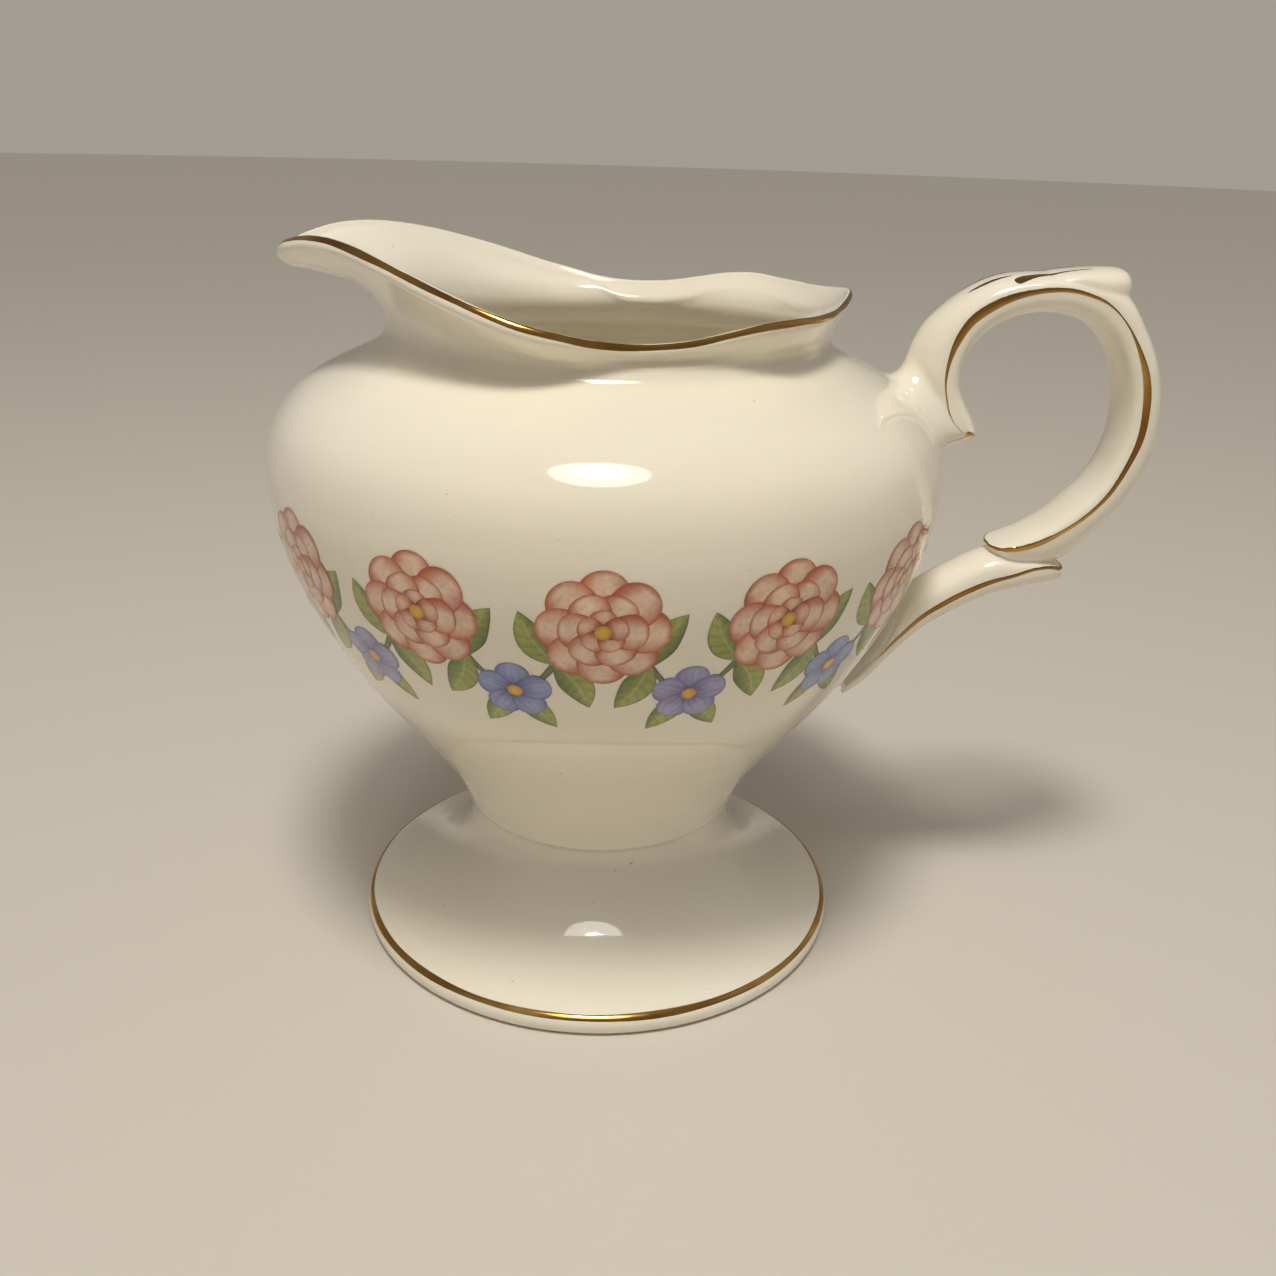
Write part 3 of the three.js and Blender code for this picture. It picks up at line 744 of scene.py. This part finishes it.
# brushed gilt strokes on the shoulder of the loop and along the thumb rest
for side, tag in ((-1, "near"), (1, "far")):
    for name, pts, w in (
        ("stroke_a", [(47.9, 96.3), (49.7, 97.4), (51.7, 98.3), (53.8, 98.9)], 0.45),
        ("stroke_b", [(54.0, 96.9), (54.8, 97.3), (55.7, 97.8), (56.9, 98.35), (58.9, 98.95), (62.0, 99.45), (64.5, 99.7)], 0.72),
    ):
        c2 = through(np.array(pts), 60)
        t = np.linspace(0, 1, 60)
        y = side * (1.7 if name == "stroke_a" else 3.1 - 1.4 * t)
        c = np.stack([AXIS_X + c2[:, 0], np.broadcast_to(y, (60,)), c2[:, 1]], 1)
        tang = np.gradient(c, axis=0)
        nrm = np.stack([np.zeros(60), np.full(60, side * 0.6), np.full(60, 0.8)], 1)
        d = np.cross(tang, nrm)
        prof = w * np.sin(np.pi * np.clip(t, 0, 1) ** (0.9 if name == "stroke_a" else 0.42)) ** (0.8 if name == "stroke_a" else 1.3) + 0.02
        o = ribbon(f"gilt_{name}_{tag}", c, d, prof, 0.05)
        fix_outward(o)
        place(o, GOLD, "gilding")

    # thin line back along the lower edge of the curl
    c2 = through(np.array([(50.9, 77.6), (50.4, 77.2), (49.6, 76.5), (48.5, 76.1), (47.3, 75.8)]), 40)
    t = np.linspace(0, 1, 40)
    c = np.stack([AXIS_X + c2[:, 0], np.full(40, side * 4.5), c2[:, 1]], 1)
    d = np.stack([np.full(40, 0.4), np.full(40, side * 0.5), np.full(40, -0.8)], 1)
    o = ribbon(f"gilt_curl_{tag}", c, d, 0.30 * np.sin(np.pi * np.clip(0.3 + 0.68 * t, 0, 1)) + 0.03, 0.05)
    fix_outward(o)
    place(o, GOLD, "gilding")

# ------------------------------------------------------------------ gilt lines of revolution


def rim_band():
    n, cross = 420, 9
    verts, faces = [], []
    for i in range(n):
        deg = 360.0 * i / n
        neck, roll, crest = lip_outline(deg)
        prof = bowl_profile(deg)
        k0 = 5 + (N_OUT - 1) + (N_NECK - 2)
        lip = prof[k0 - 3:k0 + N_ROLL + 6]
        fine = np.stack([np.interp(np.linspace(0, len(lip) - 1, 400), np.arange(len(lip)), lip[:, c]) for c in (0, 1)], 1)
        s = np.concatenate([[0], np.cumsum(np.linalg.norm(np.diff(fine, axis=0), axis=1))])
        ctr = np.abs(s - (s[np.linalg.norm(fine - crest, axis=1).argmin()] - 0.5)).argmin()
        wob = 1 + 0.12 * math.sin(math.radians(deg) * 7 + 1.0) + 0.08 * math.sin(math.radians(deg) * 19)
        half = 0.42 * wob
        g = np.gradient(fine, axis=0)
        g /= np.linalg.norm(g, axis=1)[:, None] + 1e-12
        for q in np.linspace(-1, 1, cross):
            sq = s[ctr] + q * half
            p = np.array([np.interp(sq, s, fine[:, 0]), np.interp(sq, s, fine[:, 1])])
            t = np.array([np.interp(sq, s, g[:, 0]), np.interp(sq, s, g[:, 1])])
            nrm = np.array([t[1], -t[0]])
            p = p + nrm * 0.05 * (1 - 0.8 * abs(q) ** 4)
            a = math.radians(deg)
            verts.append((AXIS_X + p[0] * math.cos(a), p[0] * math.sin(a), p[1]))
    for i in range(n):
        for k in range(cross - 1):
            a, b = i * cross + k, ((i + 1) % n) * cross + k
            faces.append((a, b, b + 1, a + 1))
    return mesh_object("gilt_rim", verts, faces)


rim = rim_band()
if rim.data.polygons[0].normal.z < 0:
    rim.data.flip_normals()
place(rim, GOLD, "gilding", "rim_gilding")


def foot_band():
    n, cross = 360, 9
    fine = through(FOOT[7:13], 300)
    s = np.concatenate([[0], np.cumsum(np.linalg.norm(np.diff(fine, axis=0), axis=1))])
    ctr = np.linalg.norm(fine - np.array([36.0, 2.78]), axis=1).argmin()
    g = np.gradient(fine, axis=0)
    g /= np.linalg.norm(g, axis=1)[:, None]
    verts, faces = [], []
    for i in range(n):
        deg = 360.0 * i / n
        a = math.radians(deg)
        half = 0.47 * (1 + 0.10 * math.sin(a * 5 + 2.0) + 0.07 * math.sin(a * 13))
        for q in np.linspace(-1, 1, cross):
            sq = s[ctr] + q * half
            p = np.array([np.interp(sq, s, fine[:, 0]), np.interp(sq, s, fine[:, 1])])
            t = np.array([np.interp(sq, s, g[:, 0]), np.interp(sq, s, g[:, 1])])
            p = p + np.array([-t[1], t[0]]) * 0.05 * (1 - 0.8 * abs(q) ** 4)
            verts.append((AXIS_X + p[0] * math.cos(a), p[0] * math.sin(a), p[1]))
    for i in range(n):
        for k in range(cross - 1):
            a, b = i * cross + k, ((i + 1) % n) * cross + k
            faces.append((a, b, b + 1, a + 1))
    return mesh_object("gilt_foot", verts, faces)


fband = foot_band()
if fband.data.polygons[0].normal.z < 0:
    fband.data.flip_normals()
place(fband, GOLD, "gilding", "foot_gilding")

# ------------------------------------------------------------------ printed flowers
# Every shape is placed by (bearing in degrees, millimetres up the bowl's side from the waist).
WHITE = np.array([1.0, 1.0, 1.0])


def mixc(a, b, t):
    t = np.clip(np.asarray(t, float), 0, 1)[..., None]
    return np.asarray(a) * (1 - t) + np.asarray(b) * t


class Sheet:
    """Flat shapes gathered into one mesh, each a little higher than the one before."""

    def __init__(self):
        self.verts, self.faces, self.cols, self.count, self.layer = [], [], [], 0, 0

    def grid(self, phi, s, col, layer=None):
        """phi, s (n, m) and col (n, m, 3)"""
        n, m = phi.shape
        lift = 0.020 + 0.005 * (self.layer if layer is None else layer)
        self.verts.append(bowl_point(phi.ravel(), s.ravel(), lift))
        self.cols.append(col.reshape(-1, 3))
        i, j = np.meshgrid(np.arange(n - 1), np.arange(m - 1), indexing="ij")
        a = (i * m + j).ravel() + self.count
        self.faces.append(np.stack([a, a + m, a + m + 1, a + 1], 1))
        self.count += n * m

    def make(self, name):
        v = np.vstack(self.verts)
        f = np.vstack(self.faces)
        o = mesh_object(name, v, f)
        me = o.data
        at = me.color_attributes.new("tint", "FLOAT_COLOR", "POINT")
        rgba = np.ones((len(v), 4))
        rgba[:, :3] = np.vstack(self.cols)
        at.data.foreach_set("color", rgba.ravel())
        # outward everywhere: the sheet's faces look away from the axis
        cen = np.zeros(len(me.polygons) * 3)
        nor = np.zeros(len(me.polygons) * 3)
        me.polygons.foreach_get("center", cen)
        me.polygons.foreach_get("normal", nor)
        cen, nor = cen.reshape(-1, 3), nor.reshape(-1, 3)
        inward = (nor[:, 0] * (cen[:, 0] - AXIS_X / 1000) + nor[:, 1] * cen[:, 1]) < 0
        if inward.any():
            g = f.copy()
            g[inward] = g[inward][:, ::-1]
            new = bpy.data.meshes.new(name)
            new.from_pydata((v / 1000.0).tolist(), [], g.tolist())
            new.polygons.foreach_set("use_smooth", [True] * len(new.polygons))
            at = new.color_attributes.new("tint", "FLOAT_COLOR", "POINT")
            at.data.foreach_set("color", rgba.ravel())
            new.update()
            o.data = new
            bpy.data.meshes.remove(me)
        place(o, PRINT, "bowl_glaze")
        return o


def outline(t, base, widest, tip):
    """Half width along a petal, 0 to 1."""
    up = base + (1 - base) * np.sin(np.pi / 2 * np.clip(t / widest, 0, 1))
    dn = np.clip(1 - np.clip((t - widest) / (1 - widest), 0, 1) ** 2, 0, 1) ** tip
    return np.where(t < widest, up, dn)


def axis_frame(axis, n):
    a = np.asarray(axis, float)
    ref = a.mean(0)
    k = np.radians(1.0) * np.interp(ref[1], _ds, BOWL_FINE[:, 0])
    flat = np.stack([(a[:, 0] - ref[0]) * k, a[:, 1] - ref[1]], 1)
    c = through(flat, n) if len(flat) > 2 else flat[0] + (flat[1] - flat[0]) * np.linspace(0, 1, n)[:, None]
    tg = np.gradient(c, axis=0)
    tg /= np.linalg.norm(tg, axis=1)[:, None] + 1e-12
    length = np.linalg.norm(np.diff(c, axis=0), axis=1).sum()
    return c, tg, np.stack([-tg[:, 1], tg[:, 0]], 1), ref, k, length


def petal(sheet, axis, width, paint, base=0.3, widest=0.6, tip=0.5, notch=0.0, ruffle=0.0, seed=0, layer=None, waves=3.0):
    _, _, _, _, _, length = axis_frame(axis, 24)
    n = int(np.clip(length / 0.2, 12, 64))
    m = int(np.clip(2 * width / 0.17, 7, 44)) | 1
    # rows bunch towards the tip, where the outline turns fastest
    u = np.linspace(0, 1, n)
    t = 1 - (1 - u) ** 1.7
    c, tg, nm, ref, k, length = axis_frame(axis, 200)
    idx = t * 199
    C = np.stack([np.interp(idx, np.arange(200), c[:, i]) for i in (0, 1)], 1)
    T = np.stack([np.interp(idx, np.arange(200), tg[:, i]) for i in (0, 1)], 1)
    N = np.stack([np.interp(idx, np.arange(200), nm[:, i]) for i in (0, 1)], 1)
    q = np.linspace(-1, 1, m)
    ph = noise1(seed + 11, 4) * 6.28
    w = width * outline(t, base, widest, tip)
    side = 1 + ruffle * np.stack([np.sin(t * 6.28 * waves * 0.5 + ph[0]), np.sin(t * 6.28 * waves * 0.5 + ph[1])], 1) * smooth(0.1, 0.5, t)[:, None]
    W = np.where(q[None, :] < 0, (w * side[:, 0])[:, None], (w * side[:, 1])[:, None])
    P = C[:, None, :] + N[:, None, :] * (q[None, :] * W)[..., None]
    back = notch * length * (1 - np.abs(q)) ** 1.5
    back = back + ruffle * 0.5 * width * (np.sin(q * 3.14 * waves + ph[2]) + 0.4 * np.sin(q * 3.14 * 2.3 * waves + ph[3]))
    P = P - T[:, None, :] * (back[None, :] * (t[:, None] ** 5))[..., None]
    phi = ref[0] + P[..., 0] / k
    s = ref[1] + P[..., 1]
    TT, QQ = np.meshgrid(t, q, indexing="ij")
    sheet.grid(phi, s, paint(TT, QQ), layer)
    if layer is None:
        sheet.layer += 1


def stroke(sheet, axis, width, color, color2=None, end=0.35, start=0.7, layer=None, m=5):
    c, tg, nm, ref, k, length = axis_frame(axis, max(8, 60))
    n = int(np.clip(length / 0.22, 8, 140))
    idx = np.linspace(0, len(c) - 1, n)
    C = np.stack([np.interp(idx, np.arange(len(c)), c[:, i]) for i in (0, 1)], 1)
    N = np.stack([np.interp(idx, np.arange(len(c)), nm[:, i]) for i in (0, 1)], 1)
    t = np.linspace(0, 1, n)
    w = width * (start + (1 - start) * smooth(0, 0.25, t)) * (1 - (1 - end) * smooth(0.6, 1, t)) * (1 + 0.12 * np.sin(t * length * 1.1))
    q = np.linspace(-1, 1, m)
    P = C[:, None, :] + N[:, None, :] * (q[None, :] * w[:, None])[..., None]
    TT, QQ = np.meshgrid(t, q, indexing="ij")
    col = mixc(color, color if color2 is None else color2, np.abs(QQ) ** 2)
    sheet.grid(ref[0] + P[..., 0] / k, ref[1] + P[..., 1], col, layer)
    if layer is None:
        sheet.layer += 1


def blob(sheet, at, rx, ry, color, rim=None, turn=0.0, layer=None, wobble=0.0, seed=0):
    n, m = 28, 6
    a = np.linspace(0, 2 * np.pi, n)
    r = np.linspace(0, 1, m)
    A, R = np.meshgrid(a, r, indexing="ij")
    ph = noise1(seed + 5, 3) * 6.28
    rad = R * (1 + wobble * np.sin(A * 3 + ph[0]) + 0.6 * wobble * np.sin(A * 5 + ph[1]))
    x, y = rx * rad * np.cos(A), ry * rad * np.sin(A)
    c, s_ = math.cos(turn), math.sin(turn)
    X, Y = x * c - y * s_, x * s_ + y * c
    k = np.radians(1.0) * np.interp(at[1], _ds, BOWL_FINE[:, 0])
    col = mixc(color, color if rim is None else rim, R ** 3)
    sheet.grid(at[0] + X / k, at[1] + Y, col, layer)
    if layer is None:
        sheet.layer += 1


def vein(q, n, t, lean=0.0):
    return (0.5 + 0.5 * np.cos(q * np.pi * n + lean * t)) ** 6


CORAL, DEEP, PALE, BLUSH = srgb(180, 74, 44), srgb(104, 32, 22), srgb(247, 224, 200), srgb(216, 132, 92)


def rosy(pale=1.0, dark=0.0, rim=1.0, seed=0):
    def paint(t, q):
        edge = np.maximum(0.55 * np.abs(q) ** 2.6 + 0.45 * np.abs(q) ** 8, smooth(0.88, 1.0, t))
        body = mixc(BLUSH, PALE, pale * (1 - np.abs(q + 0.12) ** 1.8) * smooth(0.18, 0.66, t))
        hatch = 0.5 + 0.5 * np.sin(t * 62 + 5 * q * q)
        body = mixc(body, BLUSH * 0.94, 0.10 * hatch)
        body = mixc(body, CORAL, 0.34 * vein(q, 4.0, t) * (1 - t))
        body = mixc(body, CORAL, rim * 0.80 * edge)
        body = mixc(body, CORAL * 0.8, 0.35 * smooth(0.2, 0.95, q))
        body = mixc(body, DEEP, np.clip(0.92 + dark, 0, 1) * smooth(0.52, 0.04, t))
        return mixc(body, mixc(CORAL, DEEP, 0.25), dark)
    return paint


def bluish(light, mid, dark, pink=0.0, tipdark=0.0, nv=5.0):
    def paint(t, q):
        c = mixc(mid, light, (1 - np.abs(q) ** 1.5) * smooth(0.2, 0.7, t))
        c = mixc(c, dark, 0.42 * vein(q, nv, t) * (1 - 0.6 * t))
        c = mixc(c, dark, 0.75 * smooth(0.35, 0.0, t))
        c = mixc(c, srgb(156, 98, 138), pink * smooth(0.2, 1.0, q))
        c = mixc(c, mid * 0.72, 0.6 * np.maximum(np.abs(q) ** 7, smooth(0.93, 1, t)))
        c = mixc(c, dark, tipdark * smooth(0.4, 1.0, t))
        return mixc(c, light * 1.12, 0.45 * np.exp(-((q + 0.72) / 0.14) ** 2) * smooth(0.15, 0.5, t))
    return paint


def leafy(light, mid, dark, brown=0.5, shade=0.45, nv=7.0, basecol=None):
    def paint(t, q):
        c = mixc(mid, light, np.clip(0.5 + 0.5 * q, 0, 1) * (1 - shade) + 0.3 * smooth(0.2, 0.7, t))
        side = (0.5 + 0.5 * np.sin(t * np.pi * 2 * nv - np.abs(q) * 5.0)) ** 5
        c = mixc(c, dark, 0.30 * side)
        c = mixc(c, dark, shade * smooth(0.1, -0.9, q))
        c = mixc(c, mixc(light, WHITE * 0.8, 0.25), 0.55 * np.exp(-(q / 0.07) ** 2) * smooth(1.0, 0.7, t))
        c = mixc(c, dark * 0.75, 0.7 * np.maximum(np.abs(q) ** 9, smooth(0.96, 1, t)))
        if basecol is not None:
            c = mixc(c, basecol, 0.8 * smooth(0.3, 0.0, t))
        return mixc(c, srgb(104, 58, 40), brown * smooth(0.8, 1.0, t))
    return paint


VL, VM, VD = srgb(172, 172, 212), srgb(134, 130, 180), srgb(74, 60, 110)
BL, BM, BD = srgb(160, 172, 216), srgb(112, 124, 180), srgb(46, 48, 100)
GL, GM, GD = srgb(186, 188, 96), srgb(128, 146, 66), srgb(58, 82, 44)
STEM, STEM_D = srgb(118, 132, 88), srgb(54, 72, 46)
YEL, ORA = srgb(232, 190, 60), srgb(206, 128, 34)


# A plain repeating garland: one pitch, one bloom at each crest of a wavy stem and one small flower at each hollow.
PITCH, LEVEL, SWING = 28.0, 46.0, 5.0
CRESTS = [-90.0 + PITCH * i for i in (-2, -1, 0, 1, 2)]
HOLLOWS = [-90.0 + PITCH * (i + 0.5) for i in (-2, -1, 0, 1)]


def around(c, r, deg):
    k = math.radians(1.0) * float(np.interp(c[1], _ds, BOWL_FINE[:, 0]))
    return c[0] + r * math.cos(math.radians(deg)) / k, c[1] + r * math.sin(math.radians(deg))


def wave(x):
    return LEVEL + SWING * math.cos(2 * math.pi * (x + 90.0) / PITCH)


def whorl(S, c, r, n, w, paint, turn=0.0, **kw):
    for i in range(n):
        deg = turn + 360.0 * i / n
        petal(S, [c, around(c, r * 0.5, deg), around(c, r, deg)], w, paint, seed=i, **kw)


def garland(shift, tag):
    stems = Sheet()
    for i in range(-5, 5):
        x0 = -90.0 + PITCH * 0.5 * i
        xs = np.linspace(max(x0, -158.0), min(x0 + PITCH * 0.5, -22.0), 7)
        stroke(stems, [(x + shift, wave(x)) for x in xs], 0.42, STEM, STEM_D, end=1.0, start=1.0, layer=0)
    stems.make(f"print_garland_stem_{tag}")

    leaves = Sheet()
    green = leafy(GL, GM, GD, 0.1, 0.4, 6)
    for x in CRESTS:
        for side in (-1, 1):
            if not -156.0 < x + side * PITCH * 0.25 < -24.0:
                continue
            c = (x + side * PITCH * 0.25 + shift, wave(x + side * PITCH * 0.25))
            for deg in (90 - side * 28, 270 - side * 28):
                leaves.layer = 1
                petal(leaves, [c, around(c, 4.2, deg + 8), around(c, 8.2, deg)], 2.0, green, base=0.2, widest=0.42, tip=1.0)
    for x in HOLLOWS:
        c = (x + shift, wave(x))
        for deg in (235, 305):
            leaves.layer = 2
            petal(leaves, [c, around(c, 4.0, deg), around(c, 8.0, deg)], 1.7, green, base=0.2, widest=0.45, tip=1.0)
    for x, deg in ((-158.0, 180), (-22.0, 0)):
        c = (x + shift, wave(x))
        leaves.layer = 2
        petal(leaves, [c, around(c, 2.2, deg), around(c, 4.4, deg)], 1.3, green, base=0.3, widest=0.45, tip=1.0)
    leaves.make(f"print_garland_leaves_{tag}")

    small = Sheet()
    for i, x in enumerate(HOLLOWS):
        c = (x + shift, wave(x))
        tint = bluish(BL, BM, BD) if i % 2 else bluish(VL, VM, VD)
        small.layer = 4
        whorl(small, c, 4.6, 5, 2.1, tint, turn=90.0, base=0.35, widest=0.62, tip=0.5)
        blob(small, c, 0.95, 0.95, YEL, ORA)
    small.make(f"print_small_flowers_{tag}")

    blooms = Sheet()
    for x in CRESTS:
        c = (x + shift, wave(x))
        blooms.layer = 4
        whorl(blooms, c, 7.8, 8, 3.0, rosy(0.85), turn=90.0, base=0.45, widest=0.64, tip=0.5)
        whorl(blooms, c, 5.2, 6, 2.5, rosy(0.95), turn=60.0, base=0.5, widest=0.62, tip=0.5)
        whorl(blooms, c, 3.0, 5, 1.6, rosy(0.7), turn=90.0, base=0.5, widest=0.6, tip=0.5)
        blob(blooms, c, 1.0, 1.0, YEL, ORA)
    blooms.make(f"print_blooms_{tag}")


garland(0.0, "front")
garland(180.0, "back")


# ------------------------------------------------------------------ stage, light, camera
floor_mesh = bpy.data.meshes.new("floor")
floor_mesh.from_pydata([(3 * math.cos(a), 3 * math.sin(a), -0.00002) for a in np.linspace(0, 2 * math.pi, 96, endpoint=False)], [], [list(range(96))])
floor = bpy.data.objects.new("floor", floor_mesh)
bpy.context.scene.collection.objects.link(floor)
fm, fnt, fb = principled("floor_paper", tuple(srgb(214, 208, 198)), 0.55)
floor.data.materials.append(fm)
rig.stage(floor)

world = bpy.data.worlds.new("studio")
world.use_nodes = True
world.node_tree.nodes["Background"].inputs["Color"].default_value = (*srgb(230, 222, 210), 1.0)
wnt = world.node_tree
lp = wnt.nodes.new("ShaderNodeLightPath")
ws = wnt.nodes.new("ShaderNodeMapRange")
ws.inputs["To Min"].default_value = 0.30
ws.inputs["To Max"].default_value = 0.46
wnt.links.new(lp.outputs["Is Camera Ray"], ws.inputs["Value"])
wnt.links.new(ws.outputs["Result"], wnt.nodes["Background"].inputs["Strength"])
bpy.context.scene.world = world


def area(name, loc, target, size, power, color=(1, 1, 1), size_y=None):
    l = bpy.data.lights.new(name, "AREA")
    l.energy, l.size, l.color = power, size, color
    if size_y:
        l.shape, l.size_y = "RECTANGLE", size_y
    o = bpy.data.objects.new(name, l)
    bpy.context.scene.collection.objects.link(o)
    o.location = loc
    o.rotation_euler = (Vector(target) - Vector(loc)).to_track_quat("-Z", "Y").to_euler()
    return o


area("key", (-0.027, -0.19, 0.56), (AXIS_X / 1000, 0, 0.05), 0.11, 1.46, (1.0, 0.95, 0.87)).data.shape = "DISK"
area("fill", (-0.9, -1.0, 0.9), (0, 0, 0.06), 1.5, 0.9, (1.0, 0.97, 0.92))
area("side", (1.1, 0.2, 0.7), (0, 0, 0.06), 1.2, 0.7, (1.0, 0.97, 0.93))

sky = bpy.data.lights.new("top", "SUN")
sky.energy, sky.angle, sky.color = 0.75, math.radians(24), (1.0, 0.96, 0.9)
sky_obj = bpy.data.objects.new("top", sky)
bpy.context.scene.collection.objects.link(sky_obj)
sky_obj.rotation_euler = Vector((0.03, 0.36, -1.0)).to_track_quat("-Z", "Y").to_euler()

cam = bpy.data.cameras.new("camera")
cam.sensor_width = 36.0
cam.lens = 36.0 * 1278.0 / 1276.0
cam.clip_start = 0.005
cam_obj = bpy.data.objects.new("camera", cam)
bpy.context.scene.collection.objects.link(cam_obj)
PITCH, YAW, ROLL = 0.3905, 0.0296, 0.0305
fwd = Vector((math.sin(YAW) * math.cos(PITCH), math.cos(YAW) * math.cos(PITCH), -math.sin(PITCH)))
right = fwd.cross(Vector((0, 0, 1))).normalized()
up = right.cross(fwd)
right2 = right * math.cos(ROLL) + up * math.sin(ROLL)
up2 = up * math.cos(ROLL) - right * math.sin(ROLL)
from mathutils import Matrix

rot = Matrix((right2, up2, -fwd)).transposed()
cam_obj.matrix_world = Matrix.Translation((AXIS_X / 1000.0, -0.1775, 0.1173)) @ rot.to_4x4()
bpy.context.scene.camera = cam_obj
bpy.context.scene.view_settings.view_transform = "Standard"
bpy.context.scene.view_settings.exposure = 0.0

BOUNDS_AT_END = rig.bounds()


def plain(b):
    return [[float(x) for x in row] for row in b]


try:
    json.dump({"at_load": plain(BOUNDS_AT_LOAD), "at_end": plain(BOUNDS_AT_END)}, open("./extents.json", "w"))
except TypeError:
    json.dump({"at_load": str(BOUNDS_AT_LOAD), "at_end": str(BOUNDS_AT_END)}, open("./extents.json", "w"))
